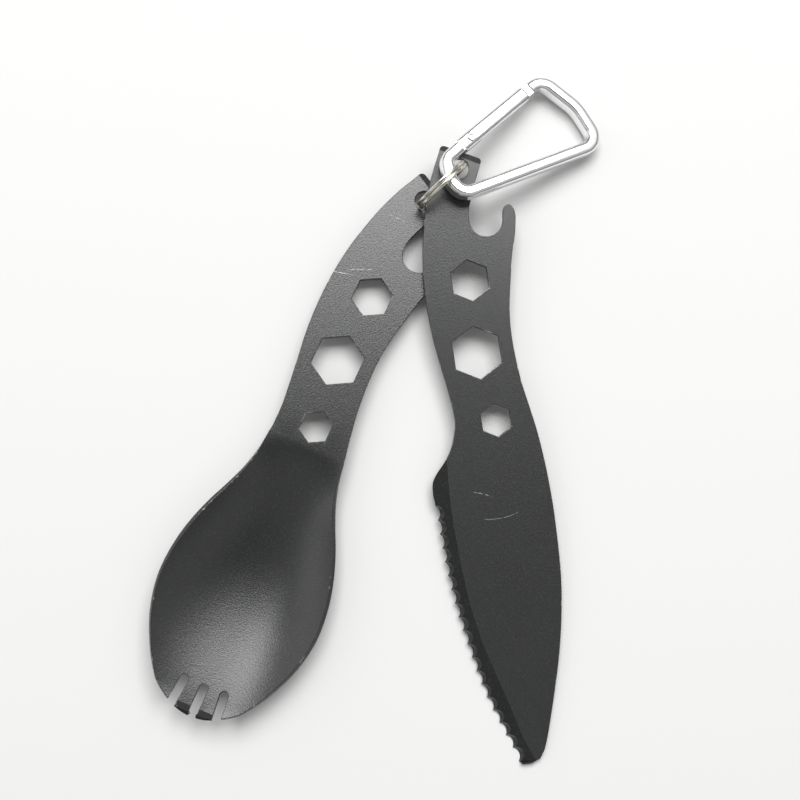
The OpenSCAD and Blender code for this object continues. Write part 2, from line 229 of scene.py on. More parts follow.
spork_turn, spork_height, bowl_depth, bowl_rests_at, bowl_room = -23.1, 2.65, 7.4, -93, 0.08
knife_turn, knife_height, knife_tip = 10.65, 7.0, -137
spork_slope = -asin((bowl_depth - spork_height - bowl_room) / (ring_hole[1] - bowl_rests_at))
knife_slope = asin(knife_height / (ring_hole[1] - knife_tip))
spork_lay = lay("ring_swing", spork_height, spork_turn, spork_slope)
knife_lay = lay("knife_fan", knife_height, knife_turn, knife_slope)
print("slopes in degrees:", [round(slope * 180 / pi, 2) for slope in (spork_slope, knife_slope)])


# %% Turn a mesh into a piece
soft_angle, firm_angle = 14, 35  # edges that turn by more than this stay sharp, on sheets and on bars


def finish_mesh(name, mesh, place):
    """Turns the built mesh into an object that lies where it belongs."""
    bmesh.ops.transform(mesh, matrix=place, verts=mesh.verts)
    bmesh.ops.recalc_face_normals(mesh, faces=mesh.faces)
    data = bpy.data.meshes.new(name)
    mesh.to_mesh(data)
    mesh.free()
    data.shade_smooth()
    data.set_sharp_from_angle(angle=radians(soft_angle))
    piece = bpy.data.objects.new(name, data)
    bpy.context.scene.collection.objects.link(piece)
    print(name, len(data.polygons), "faces")
    return piece


# %% [markdown]
# ## The spork
# The bowl is pressed from the flat sheet. So the flat blank comes first, with three slots that leave four
# tines. Then the blank is cut into a fine net of faces, and each point sinks by the depth of the press
# tool under it. That keeps the bevelled rim all the way round, which a lofted bowl joined to a handle
# would lose at the seam.

# %% Draw the spork blank
bowl_middle = -0.1
half_widths = [(-45, 11.25), (-52, 12.4), (-58, 14), (-64, 16.4), (-70, 19.1), (-76, 21.3), (-82, 22.9),
               (-88, 23.8), (-94, 24), (-100, 23.2), (-106, 21.5), (-111, 19.3), (-115.5, 16.9),
               (-119.5, 14.2), (-121.8, 12.2), (-123.9, 9.2), (-125.4, 6.4), (-126.4, 3.6), (-126.9, 0.8)]
rim = smooth([(-44, 11.0)] + half_widths, 4)[4:] + [half_widths[-1]]
slot_w, slot_fan, slot_pitch, slot_middle, slot_top, slot_arch = 2.5, 6, 6.1, 0.3, -118.5, 0.3


def with_slot(outline, x, y, turn):
    """Cuts a slot with a round inner end into an outline that runs left to right under it."""
    place = Matrix.Rotation(radians(turn), 2)
    local = [place.transposed() @ (Vector(p) - Vector((x, y))) for p in outline]
    half, well_below = slot_w / 2, -2
    crossing = []
    for side in (-half, half):
        i = next(i for i in range(len(local) - 1)
                 if local[i].x < side <= local[i + 1].x and max(local[i].y, local[i + 1].y) < well_below)
        a, b = local[i], local[i + 1]
        crossing.append((i, a + (b - a) * (side - a.x) / (b.x - a.x)))
    (i, left), (j, right) = crossing
    slot = [left] + [Vector(p) for p in arc((0, 0), half, 180, 0, 12)] + [right]
    return outline[:i + 1] + [tuple(place @ p + Vector((x, y))) for p in slot] + outline[j + 1:]


bowl_edge = [(bowl_middle - w, y) for y, w in rim] + [(bowl_middle + w, y) for y, w in reversed(rim)]
for side in (-1, 0, 1):
    top = slot_top - slot_arch * (1 - abs(side))
    bowl_edge = with_slot(bowl_edge, slot_middle + side * slot_pitch, top, side * slot_fan)
print("bowl edge:", len(bowl_edge), "points")

# %% The shape of the press tool
dish_start, dish_len, dish_lean, dish_round, soft_start, dish_wall = -46, 83, 0.82, 1.25, 0.06, 2.3


def half_width(y):
    for (y0, w0), (y1, w1) in zip(rim, rim[1:]):
        if y1 <= y <= y0:
            return w0 + (w1 - w0) * (y - y0) / (y1 - y0)
    return rim[0][1] if y > rim[0][0] else rim[-1][1]


def dish(y):
    """How deep the bowl's middle is at y, from 0 to 1: a soft start at the neck, deepest before the tines."""
    along = max(0, min(1, (dish_start - y) / dish_len))
    return max(0, sin(pi * along**dish_lean)) ** dish_round * (1 + soft_start) * along / (along + soft_start)


def pressed(x, y):
    """How far the press tool pushes the sheet down here."""
    across = min(1, abs(x - bowl_middle) / half_width(y))
    return bowl_depth * dish(y) * (1 - across**dish_wall)


def lean(x, y):
    """How fast the bowl gets deeper here along x and along y, from short steps inwards and up."""
    inwards, up = -0.02 * x, 0.2
    down = pressed(x, y)
    return (pressed(x + inwards, y) - down) / max(inwards, 0.001, key=abs), (pressed(x, y + up) - down) / up


print("the bowl is", round(max(pressed(0, -y) for y in range(46, 127)), 1), "mm deep")

# %% Press the bowl
net, bowl_len, bowl_half_w = 1.5, 82, 24
handle_below, large_face = -44 * mm, 2e-5
tine_slope, tine_grind, tine_drop, middle_tines_w = radians(14), -123.8, 0.7, 6.3
spork_mesh = punch("spork", handle([(-11.2, -38), neck_left], bowl_edge, [neck_right]), handle_holes())
grind_chisel(spork_mesh)
cuts = [((0, dish_start - net * i, 0), (0, 1, 0)) for i in range(int(bowl_len / net))]
half_cuts = int(bowl_half_w / net)
cuts += [((net * (i + 0.5), 0, 0), (1, 0, 0)) for i in range(-half_cuts, half_cuts)]
for middle, normal in cuts:
    # the blank's two large faces reach up into the handle, so they are told by their area
    below = [f for f in spork_mesh.faces
             if f.calc_center_median().y < handle_below or f.calc_area() > large_face]
    parts = set(below) | {e for f in below for e in f.edges} | {v for f in below for v in f.verts}
    bmesh.ops.bisect_plane(spork_mesh, geom=list(parts), plane_co=Vector(middle) * mm, plane_no=normal,
                           dist=cut_gap)
for v in spork_mesh.verts:
    x, y, z = v.co / mm
    # the sheet keeps its thickness, so its upper face moves inwards where the bowl turns up
    lean_x, lean_y = lean(x, y)
    length = sqrt(1 + lean_x**2 + lean_y**2)
    v.co = Vector((x + lean_x * z / length, y + lean_y * z / length, z / length - pressed(x, y))) * mm
grind_past(spork_mesh, (0, tine_grind), (0, -1), tan(tine_slope), sheet - tine_drop, width=middle_tines_w)
spork = finish_mesh("spork_sheet", spork_mesh, spork_lay)

# %% [markdown]
# ## The knife
# The blade is the same sheet, left flat. One side of its cutting edge is ground to a wedge, and a shaped
# wheel then cuts a row of scallops into it. Both are real cuts, so booleans do them. The wheel leans, so
# each scallop is a short leaning prism, and the ground face gets the small flutes that catch the light.
# Neighbouring prisms would meet, so the scallops are cut as two sets.

# %% Make a tool
def solid(name, points, faces):
    """An object from points in millimetres and faces that close them."""
    mesh = bmesh.new()
    made = [mesh.verts.new(Vector(p) * mm) for p in points]
    for face in faces:
        mesh.faces.new([made[i] for i in face])
    bmesh.ops.recalc_face_normals(mesh, faces=mesh.faces)
    data = bpy.data.meshes.new(name)
    mesh.to_mesh(data)
    mesh.free()
    tool = bpy.data.objects.new(name, data)
    bpy.context.scene.collection.objects.link(tool)
    return tool


def prism(name, low, high):
    """A closed solid between two loops of points with as many points each."""
    n = len(low)
    sides = [(i, (i + 1) % n, n + (i + 1) % n, n + i) for i in range(n)]
    return solid(name, low + high, [tuple(range(n))[::-1], tuple(range(n, 2 * n))] + sides)


# %% Cut and join with tools
def work(piece, operation, tools):
    """Applies one boolean for each tool and removes the tools."""
    for tool in tools:
        step = piece.modifiers.new(tool.name, "BOOLEAN")
        step.object, step.operation, step.solver = tool, operation, "EXACT"
    bpy.context.view_layer.update()
    worked = bpy.data.meshes.new_from_object(piece.evaluated_get(bpy.context.evaluated_depsgraph_get()))
    piece.modifiers.clear()
    old, piece.data = piece.data, worked
    bpy.data.meshes.remove(old)
    for tool in tools:
        bpy.data.objects.remove(tool)
    print(piece.name, operation.lower(), len(tools))


def cut(piece, *tools):
    work(piece, "DIFFERENCE", tools)


def join(piece, *others):
    work(piece, "UNION", others)


def smooth_by_angle(piece, angle):
    """Smooth shading between sharp edges, with the large faces kept flat."""
    piece.data.shade_smooth()
    piece.data.set_sharp_from_angle(angle=radians(angle))
    piece.modifiers.new("flat faces", "WEIGHTED_NORMAL").keep_sharp = True
    print(piece.name, len(piece.data.polygons), "faces")


# %% Draw the blade
spine = [(-3.8, -134.2), (-2.6, -131.6), (-0.6, -126.3), (2.1, -118.6), (4.6, -111), (6.9, -102.7),
         (8.8, -94), (10.1, -85.7), (10.9, -76.5), (11.45, -66.6), (11.5, -57.8), (11.3, -51.5), (10.85, -45)]
tip = [(-11.4, -136.2), (-10.4, -137), (-7.8, -137.2), (-5.4, -136.3)]
heel = [(-11.5, -38), (-12.4, -42), (-14, -45.8), (-16.4, -49.2), (-19.3, -52.2), (-20.9, -54.6),
        (-21.4, -57.6), (-21.3, -60.2)]
edge = smooth([(-21.3, -60.2), (-21.6, -68), (-21.7, -76), (-21.5, -83.8), (-20.9, -91.7), (-19.9, -99.7),
               (-18.7, -107.9), (-17.2, -115.9), (-15.1, -123.6), (-12.7, -131.3), (-11.3, -135.9)])
grind_in = smooth([(-15.6, -47.5), (-16.9, -59.4), (-17.3, -71.2), (-17, -86.9), (-15.6, -99.6),
                   (-13.3, -110.1), (-11, -120), (-8.9, -129.8), (-6.2, -137.4)])
grind_out = smooth([(-19.2, -47.5), (-21.9, -59.4), (-22.2, -71.2), (-21.8, -86.9), (-20.4, -99.6),
                    (-18.6, -110.1), (-16.5, -120), (-13.7, -129.8), (-11.6, -137.4)])
print("cutting edge:", len(edge), "points")

# %% The grinding wheel's wedge
edge_left, wheel_past, wheel_above, wheel_skim = 0.35, 1.5, 1, 0.02


def wedge():
    """What the wheel takes off: from the sheet's top down to edge_left at the edge, and on past it."""
    points, faces = [], []
    low, start, high = sheet - (sheet - edge_left) * wheel_past, sheet + wheel_skim, sheet + wheel_above
    for a, b in zip(grind_in, grind_out):
        far = Vector(a) + (Vector(b) - Vector(a)) * wheel_past
        points += [(*a, start), (*far, low), (*far, high), (*a, high)]
    n = len(grind_in)
    for i in range(n - 1):
        faces += [(4 * i + k, 4 * i + 4 + k, 4 * i + 4 + (k + 1) % 4, 4 * i + (k + 1) % 4) for k in range(4)]
    return solid("wedge", points, faces + [(0, 1, 2, 3), (4 * n - 1, 4 * n - 2, 4 * n - 3, 4 * n - 4)])


# %% The scallops
teeth, tooth_pitch, tooth_depth, tooth_start = 20, 4, 1.0, 1
tooth_low, tooth_high, tooth_lean = -0.6, 1.2, tan(radians(48))


def tooth_places():
    """Each scallop's point on the cutting edge, and the way into the blade from there."""
    places, walked = [], 0.0
    for a, b in zip(edge, edge[1:]):
        a, b = Vector(a), Vector(b)
        step, along = (b - a).length, (b - a).normalized()
        while len(places) < teeth and walked + step > tooth_start + (len(places) + 0.5) * tooth_pitch:
            here = tooth_start + (len(places) + 0.5) * tooth_pitch - walked
            places.append((a + along * here, Vector((-along.y, along.x))))
        walked += step
    return places


def scallops(parity, steps=40):
    """Every other scallop, as leaning prisms that never touch each other."""
    radius = (tooth_pitch**2 / 4 / tooth_depth + tooth_depth) / 2
    points, faces = [], []
    for at, inward in tooth_places()[parity::2]:
        middle, low = at - inward * (radius - tooth_depth), len(points)
        for z in (tooth_low, tooth_high):
            points += [(x, y, z) for x, y in circle(middle + inward * tooth_lean * z, radius, steps)]
        high = low + steps
        faces += [(low + i, low + (i + 1) % steps, high + (i + 1) % steps, high + i) for i in range(steps)]
        faces += [tuple(range(low, high))[::-1], tuple(range(high, high + steps))]
    return solid(f"scallops_{parity}", points, faces)


# %% Punch, grind and scallop the knife
ground_least, ground_most = 0.93, 0.985  # the normal's z on the ground band lies between these
knife_mesh = punch("knife", handle(heel, edge + tip, spine), handle_holes())
grind_chisel(knife_mesh)
knife = finish_mesh("knife_blade", knife_mesh, Matrix.Identity(4))
cut(knife, wedge(), scallops(0), scallops(1))
# the booleans keep the attribute, and the ground band is marked as well as the walls
for face, mark in zip(knife.data.polygons, knife.data.attributes["cut_wall"].data):
    mark.value = 1.0 if abs(face.normal.z) < upright or ground_least < face.normal.z < ground_most else 0.0
knife.data.transform(knife_lay)
smooth_by_angle(knife, soft_angle)

# %% [markdown]
# ## The split ring
# One hard wire makes two turns and steps over itself where it crosses. A swept section follows that path:
# the wire is slightly flattened, with rounded corners, and its two ends are cut square.

# %% Sweep a section
def sweep(name, path, section):
    """Skins a list of place matrices with one section each, and closes both ends."""
    n = len(section)
    points = [place @ Vector((0, a, b)) for place in path for a, b in section]
    faces = [(n * i + k, n * i + (k + 1) % n, n * (i + 1) + (k + 1) % n, n * (i + 1) + k)
             for i in range(len(path) - 1) for k in range(n)]
    faces += [tuple(range(n))[::-1], tuple(range(n * (len(path) - 1), n * len(path)))]
    return solid(name, points, faces)


def rounded_box(width, height, radius, steps=5):
    """The section of a bar with rounded corners."""
    made = []
    for sx, sy, first in ((1, 1, 0), (-1, 1, 90), (-1, -1, 180), (1, -1, 270)):
        made += arc((sx * (width / 2 - radius), sy * (height / 2 - radius)), radius, first, first + 90, steps)
    return made


# %% Wind the ring
ring_od, wire_w, wire_t, wire_round, turn_gap = 18.2, 1.4, 1.05, 0.36, 0.06
wire_start, wire_run, wire_steps, crossing_at, crossing_half = 24, 672, 200, 200, 22
ring_r = ring_od / 2 - wire_w / 2
ring_turn, ring_lean = 43.5, 5
ring_height = ring_od / 2 * cos(radians(ring_lean)) + (wire_t + turn_gap / 2) * sin(radians(ring_lean))
ring_low, ring_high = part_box("split_ring")
ring_middle = (ring_low + ring_high) / 2 / mm
ring_place = (Matrix.Translation((ring_middle.x, ring_middle.y, ring_height))
              @ Matrix.Rotation(radians(ring_turn), 4, "Z") @ Matrix.Rotation(radians(ring_lean), 4, "X"))


def wire_frame(a):
    """Where the wire is, a degrees along its two turns."""
    side = (wire_t + turn_gap) / 2 * sin(pi / 2 * max(-1, min(1, (a - 360) / crossing_half)))
    along = Matrix.Rotation(-radians(a + crossing_at), 4, "Y")
    return ring_place @ along @ Matrix.Translation((ring_r, side, 0))


# the section's first axis runs along the ring's axis, and its second one outwards
outward = Matrix(((0, 0, 1, 0), (0, 1, 0, 0), (-1, 0, 0, 0), (0, 0, 0, 1)))
wire = [wire_frame(wire_start + wire_run * i / wire_steps) @ outward for i in range(wire_steps + 1)]
ring = sweep("split_ring_wire", wire, rounded_box(wire_t, wire_w, wire_round))
smooth_by_angle(ring, firm_angle)

# %% [markdown]
# ## The carabiner's body
# The body is one aluminium bar, pressed to a rounded section and bent to a D. It is swept along its
# centre line, cut square at the shoulder and the nose, and gets the thin hinge tongue and the nose tongue
# that the gate closes on. Beyond the gate's end sits a small nose block with four grip ribs across it.

# %% Bend the bar
bar_w, bar_t, bar_round = 3.7, 4.6, 1.25
bar_path = [(5.4, 3.95, 0), (0.2, 2.6, 3.2), (-1.9, -3.2, 5), (-0.9, -8.4, 4.2), (44.4, -12.9, 4.2),
            (43.8, -0.6, 13), (38.4, 11.36, 4.6), (31.66, 9.86, 0)]
carabiner_place = (Matrix.Translation(Vector(joint["carabiner_lift"]["pos_m"]) / mm)
                   @ Matrix.Rotation(radians(29.5), 4, "Z") @ Matrix.Rotation(radians(13.7), 4, "Y")
                   @ Matrix.Rotation(radians(-1), 4, "X"))
rivet_at, gate_turn, gate_len, gate_d, nose_len = (9.7, 4.95), 12.6, 22, 4.4, 2.7
gate_place = Matrix.Translation((*rivet_at, 0)) @ Matrix.Rotation(radians(gate_turn), 4, "Z")


def bar_frames():
    corners = [Vector(p[:2]) for p in bar_path]
    line = [corners[0]]
    for i in range(1, len(corners) - 1):
        line += [Vector(p) for p in fillet(corners[i - 1], corners[i], corners[i + 1], bar_path[i][2], 12)]
    line.append(corners[-1])
    frames = []
    for i, p in enumerate(line):
        run = (line[min(i + 1, len(line) - 1)] - p).normalized() + (p - line[max(i - 1, 0)]).normalized()
        frames.append(Matrix.Translation((*p, 0)) @ Matrix.Rotation(atan2(run.y, run.x), 4, "Z"))
    return frames


print("bar frames:", len(bar_frames()))

# %% Boxes and pins as tools
def box_tool(name, low, high, place=Matrix.Identity(4)):
    (x0, y0, z0), (x1, y1, z1) = low, high
    loop = [(x0, y0), (x1, y0), (x1, y1), (x0, y1)]
    return prism(name, [place @ Vector((x, y, z0)) for x, y in loop],
                 [place @ Vector((x, y, z1)) for x, y in loop])


def round_tool(name, middle, axis, length, radius, place=Matrix.Identity(4)):
    turn = Vector((0, 0, 1)).rotation_difference(Vector(axis)).to_matrix().to_4x4()
    frame_at = place @ Matrix.Translation(middle) @ turn
    loop = circle((0, 0), radius)
    return prism(name, [frame_at @ Vector((x, y, 0)) for x, y in loop],
                 [frame_at @ Vector((x, y, length)) for x, y in loop])


def set_in_place(piece, place):
    """Moves a mesh by a place that is in millimetres."""
    piece.data.transform(Matrix.Scale(mm, 4) @ place @ Matrix.Scale(1 / mm, 4))


# %% Work the body
tongue_t, slot_room, heel_x, rivet_d, head_d, run_room = 1.3, 0.15, 1.9, 1.4, 2.6, 0.05
hinge_half_w, nose_half_w, block_half_w, block_half_t, block_room = 1.45, 1.05, 1.6, 1.8, 0.45
rib_count, rib_pitch, rib_w, rib_low = 4, 0.55, 0.33, 1.1
body = sweep("carabiner_bar", bar_frames(), rounded_box(bar_w, bar_t, bar_round))
cut(body, box_tool("gate_room", (-4.05, -4, -5), (gate_len + nose_len, 4, 5), gate_place))
half_tongue = tongue_t / 2
hinge_tongue = box_tool("hinge_tongue", (-5.5, -hinge_half_w, -half_tongue),
                        (heel_x, hinge_half_w, half_tongue), gate_place)
nose_tongue = box_tool("nose_tongue", (gate_len - 1.6, -nose_half_w, -half_tongue),
                       (gate_len + 2.4, nose_half_w, half_tongue), gate_place)
nose_block = box_tool("nose_block", (gate_len + block_room, -block_half_w, -block_half_t),
                      (gate_len + block_room + nose_len, block_half_w, block_half_t), gate_place)
join(body, hinge_tongue, nose_block, nose_tongue)
ribs = []
for i in range(rib_count):
    x = gate_len + 0.6 + rib_pitch * i
    ribs.append(box_tool(f"rib_{i}", (x, -2, rib_low), (x + rib_w, 2, 2.2), gate_place))
cut(body, *ribs)
cut(body, round_tool("rivet_hole", (0, 0, -2), (0, 0, 1), 4, rivet_d / 2, gate_place))
set_in_place(body, carabiner_place)
smooth_by_angle(body, firm_angle)

# %% [markdown]
# ## The gate and its rivet
# The gate is a short aluminium rod, forked at the hinge and slotted at the nose, with a blind bore for
# its spring. It starts as a rod with a flat milled along its top and bottom, and the real cuts follow.
# The rivet is turned, so its profile is spun about its own axis, with a small dimple where the setting
# punch struck.

# %% Make the gate
gate_r, flat_cut = gate_d / 2, 0.2
bore_d, bore_end = 2.1, 13.5
rod = rounded_box(gate_d, gate_d - 2 * flat_cut, bar_round)
gate_frames = []
for x, shrink in ((-3.7, 0.93), (-3.5, 1), (gate_len, 1), (gate_len + 0.2, 0.93)):  # both ends are eased
    gate_frames.append(Matrix.Translation((x, 0, 0)) @ Matrix.Diagonal((1, shrink, shrink, 1)))
gate = sweep("gate_rod", gate_frames, rod)
slot_half = tongue_t / 2 + slot_room
cut(gate,
    box_tool("fork", (-6, -4, -slot_half), (heel_x + 0.5, 4, slot_half)),
    round_tool("pin", (0, 0, -4), (0, 0, 1), 8, rivet_d / 2 + run_room),
    round_tool("bore", (0, 0, 0), (1, 0, 0), bore_end, bore_d / 2),
    box_tool("nose_slot", (gate_len - 1.9, -1.35, -slot_half), (gate_len + 4, 6, slot_half)))
set_in_place(gate, carabiner_place @ gate_place)
smooth_by_angle(gate, firm_angle)

# %% Turn the rivet
def spin(name, profile, place, steps=48):
    """A turned solid: profile is (radius, height) from the bottom's middle to the top's middle."""
    points, faces = [], []
    inner = profile[1:-1]
    for r, h in inner:
        points += [place @ Vector((x, y, h)) for x, y in circle((0, 0), r, steps)]
    bottom, top = len(points), len(points) + 1
    points += [place @ Vector((0, 0, profile[0][1])), place @ Vector((0, 0, profile[-1][1]))]
    for k in range(steps):
        k1 = (k + 1) % steps
        faces.append((bottom, k1, k))
        faces.append((top, (len(inner) - 1) * steps + k, (len(inner) - 1) * steps + k1))
        faces += [(i * steps + k, i * steps + k1, (i + 1) * steps + k1, (i + 1) * steps + k)
                  for i in range(len(inner) - 1)]
    return solid(name, points, faces)


flat_z, head_r, dimple_edge = gate_r - flat_cut, head_d / 2, 25
head_profile = [(0, 0.35), (0.4, 0.35), (0.7, 0.53), (head_r - 0.25, 0.55), (head_r - 0.08, 0.45),
                (head_r, 0.25), (head_r, 0.1), (rivet_d / 2, 0.1)]
half_rivet = [(r, flat_z + h) for r, h in head_profile]
rivet = spin("rivet_pin", [(r, -h) for r, h in half_rivet] + half_rivet[::-1], carabiner_place @ gate_place)
smooth_by_angle(rivet, dimple_edge)

# %% [markdown]
# ## Shading helpers
# Materials here are built from nodes in code. One helper adds a node and fills its sockets, and one makes
# a node group with named inputs and outputs, so that each surface effect is written once and reused with
# its own numbers.

# %% Node helpers
def put(tree, kind, sockets=None, **settings):
    """Adds a node. A socket is either linked from another node's output or filled with a value."""
    node = tree.nodes.new("ShaderNode" + kind)
    for name, value in settings.items():
        setattr(node, name, value)
    for name, value in (sockets or {}).items():
        if isinstance(value, bpy.types.NodeSocket):
            tree.links.new(value, node.inputs[name])
        else:
            node.inputs[name].default_value = value
    return node


def math(tree, operation, *values):
    return put(tree, "Math", dict(enumerate(values)), operation=operation).outputs[0]


def effect(name, inputs, outputs):
    """An empty node group, with its input and output nodes."""
    tree = bpy.data.node_groups.new(name, "ShaderNodeTree")
    for label, kind, value in inputs:
        made = tree.interface.new_socket(label, in_out="INPUT", socket_type="NodeSocket" + kind)
        made.default_value = value
    for label, kind in outputs:
        tree.interface.new_socket(label, in_out="OUTPUT", socket_type="NodeSocket" + kind)
    return tree, tree.nodes.new("NodeGroupInput").outputs, tree.nodes.new("NodeGroupOutput").inputs


def use(tree, group, **sockets):
    """Places an effect in a material, with its own numbers."""
    return put(tree, "Group", sockets, node_tree=group).outputs


# %% [markdown]
# ## Surface effects
# - Coating grain: a fine powdery grain, as height, plus the few brighter specks of the coating's flakes.
# - Worn arris: the coating rubs thin on the bevels that the punch step marked, in patches.
# - Scratch: one fine mark on a flat face, straight or bent, broken up along its length.
# - Drawn metal: fine unevenness of a bare metal, as tone and height.
# The numbers inside a group are the sizes of its noise. What changes from material to material is an
# input.

# %% Coating grain
grain, given, result = effect("Coating grain", [("Place", "Vector", (0, 0, 0)), ("Size", "Float", 2700)],
                              [("Height", "Float"), ("Flakes", "Float"), ("Cloud", "Float")])
fine = put(grain, "TexNoise", {"Vector": given["Place"], "Scale": given["Size"], "Detail": 2,
                               "Roughness": 0.6})
grain.links.new(fine.outputs["Fac"], result["Height"])
flake_size = math(grain, "MULTIPLY", given["Size"], 2.0)
cells = put(grain, "TexVoronoi", {"Vector": given["Place"], "Scale": flake_size})
pick = put(grain, "SeparateColor", {"Color": cells.outputs["Color"]})
flake = put(grain, "MapRange", {"Value": pick.outputs["Red"], "From Min": 0.9, "From Max": 1.0})
grain.links.new(flake.outputs[0], result["Flakes"])
cloud = put(grain, "TexNoise", {"Vector": given["Place"], "Scale": 90, "Detail": 3})
grain.links.new(cloud.outputs["Fac"], result["Cloud"])

# %% Worn arris
worn, given, result = effect("Worn arris", [("Place", "Vector", (0, 0, 0)), ("Rim", "Float", 0),
                                            ("Amount", "Float", 0.5)], [("Mask", "Float")])
patches = put(worn, "TexNoise", {"Vector": given["Place"], "Scale": 260, "Detail": 4, "Roughness": 0.65})
least = math(worn, "SUBTRACT", 0.95, given["Amount"])
rubbed = put(worn, "MapRange", {"Value": patches.outputs["Fac"], "From Min": least,
                                "From Max": math(worn, "ADD", least, 0.12)})
worn.links.new(math(worn, "MULTIPLY", rubbed.outputs[0], given["Rim"]), result["Mask"])

# %% Scratch
scratch_inputs = [("Place", "Vector", (0, 0, 0)), ("Middle", "Vector", (0, 0, 0)), ("Turn", "Float", 0),
                  ("Length", "Float", 0.005), ("Bend", "Float", 0), ("Width", "Float", 0.00012)]
scratch, given, result = effect("Scratch", scratch_inputs, [("Mask", "Float")])
offset = put(scratch, "VectorMath", {0: given["Place"], 1: given["Middle"]}, operation="SUBTRACT")
back = math(scratch, "MULTIPLY", given["Turn"], -1)
turned = put(scratch, "VectorRotate", {"Vector": offset.outputs[0], "Angle": back}, rotation_type="Z_AXIS")
axes = put(scratch, "SeparateXYZ", {"Vector": turned.outputs[0]}).outputs
sag = math(scratch, "MULTIPLY", math(scratch, "MULTIPLY", axes["X"], axes["X"]), given["Bend"])
away = math(scratch, "ABSOLUTE", math(scratch, "SUBTRACT", axes["Y"], sag))
line = put(scratch, "MapRange", {"Value": away, "From Max": given["Width"], "To Min": 1, "To Max": 0})
half_length = math(scratch, "MULTIPLY", given["Length"], 0.5)
inside = math(scratch, "LESS_THAN", math(scratch, "ABSOLUTE", axes["X"]), half_length)
near = math(scratch, "LESS_THAN", math(scratch, "ABSOLUTE", axes["Z"]), 0.0008)
breaks = put(scratch, "TexNoise", {"Vector": given["Place"], "Scale": 900, "Detail": 2})
broken = put(scratch, "MapRange", {"Value": breaks.outputs["Fac"], "From Min": 0.36, "From Max": 0.52})
mark = math(scratch, "MULTIPLY", math(scratch, "MULTIPLY", line.outputs[0], inside),
            math(scratch, "MULTIPLY", near, broken.outputs[0]))
scratch.links.new(mark, result["Mask"])

# %% Drawn metal
drawn, given, result = effect("Drawn metal", [("Place", "Vector", (0, 0, 0)), ("Size", "Float", 1500)],
                              [("Height", "Float"), ("Tone", "Float")])
fine = put(drawn, "TexNoise", {"Vector": given["Place"], "Scale": given["Size"], "Detail": 3})
drawn.links.new(fine.outputs["Fac"], result["Height"])
broad_size = math(drawn, "MULTIPLY", given["Size"], 0.2)
broad = put(drawn, "TexNoise", {"Vector": given["Place"], "Scale": broad_size, "Detail": 2})
drawn.links.new(broad.outputs["Fac"], result["Tone"])
print("surface effects:", [g.name for g in bpy.data.node_groups])

# %% [markdown]
# ## Black coating
# The coating is a satin black, dark and slightly grey green, with a fine sparkle. Its roughness decides
# how far the lamp's light spreads over the flat handles, so it is the most important number. Worn arrises
# and scratches let some of the steel show: there the colour is lighter and a little metallic. The cut
# walls and the knife's ground band carry a thinner, duller coat, so the attribute that marks them takes
# gloss away there.

# %% Material helpers
def on_top(place, x, y):
    """The point of a laid sheet's upper face over x, y, which are in mm. The point is in metres."""
    normal, base = place.to_3x3() @ Vector((0, 0, 1)), place @ Vector((0, 0, sheet * mm))
    x, y = x * mm, y * mm
    return (x, y, base.z - (normal.x * (x - base.x) + normal.y * (y - base.y)) / normal.z)


def material(name):
    made = bpy.data.materials.new(name)
    made.use_nodes = True
    tree = made.node_tree
    shader = tree.nodes["Principled BSDF"]
    place = put(tree, "TexCoord").outputs["Object"]
    return made, tree, shader, place


def color_mix(tree, factor, a, b):
    """A Mix node's colours are its inputs 6 and 7, and its mixed colour is its output 2."""
    return put(tree, "Mix", {0: factor, 6: a, 7: b}, data_type="RGBA").outputs[2]


def float_range(tree, value, low, high):
    return put(tree, "MapRange", {"Value": value, "To Min": low, "To Max": high}).outputs[0]


# %% Build the coating
dark_black, light_black = (0.0075, 0.0086, 0.0079, 1), (0.012, 0.0137, 0.0127, 1)
flake_grey, bare_steel = (0.035, 0.039, 0.036, 1), (0.52, 0.51, 0.47, 1)
face_gloss, wall_gloss, bare_metallic, grain_depth = 0.5, 0.17, 0.7, 0.00004


def black_coating(name, place_of_sheet, marks, wear, rough, ior):
    made, tree, shader, place = material(name)
    texture = use(tree, grain, Place=place)
    rim = put(tree, "Attribute", attribute_name="arris").outputs["Fac"]
    bare = use(tree, worn, Place=place, Rim=rim, Amount=wear)["Mask"]
    for x, y, turn, length, bend, width in marks:
        line = use(tree, scratch, Place=place, Middle=on_top(place_of_sheet, x, y), Turn=radians(turn),
                   Length=length * mm, Bend=bend / mm, Width=width * mm)["Mask"]
        bare = math(tree, "MAXIMUM", bare, line)
    dark = color_mix(tree, texture["Cloud"], dark_black, light_black)
    flecked = color_mix(tree, texture["Flakes"], dark, flake_grey)
    shown = color_mix(tree, bare, flecked, bare_steel)
    tree.links.new(shown, shader.inputs["Base Color"])
    tree.links.new(float_range(tree, bare, 0, bare_metallic), shader.inputs["Metallic"])
    shader.inputs["IOR"].default_value = ior
    tree.links.new(float_range(tree, texture["Height"], *rough), shader.inputs["Roughness"])
    wall = put(tree, "Attribute", attribute_name="cut_wall").outputs["Fac"]
    tree.links.new(float_range(tree, wall, face_gloss, wall_gloss), shader.inputs["Specular IOR Level"])
    bump = put(tree, "Bump", {"Height": texture["Height"], "Strength": 1.0, "Distance": grain_depth})
    tree.links.new(bump.outputs[0], shader.inputs["Normal"])
    return made


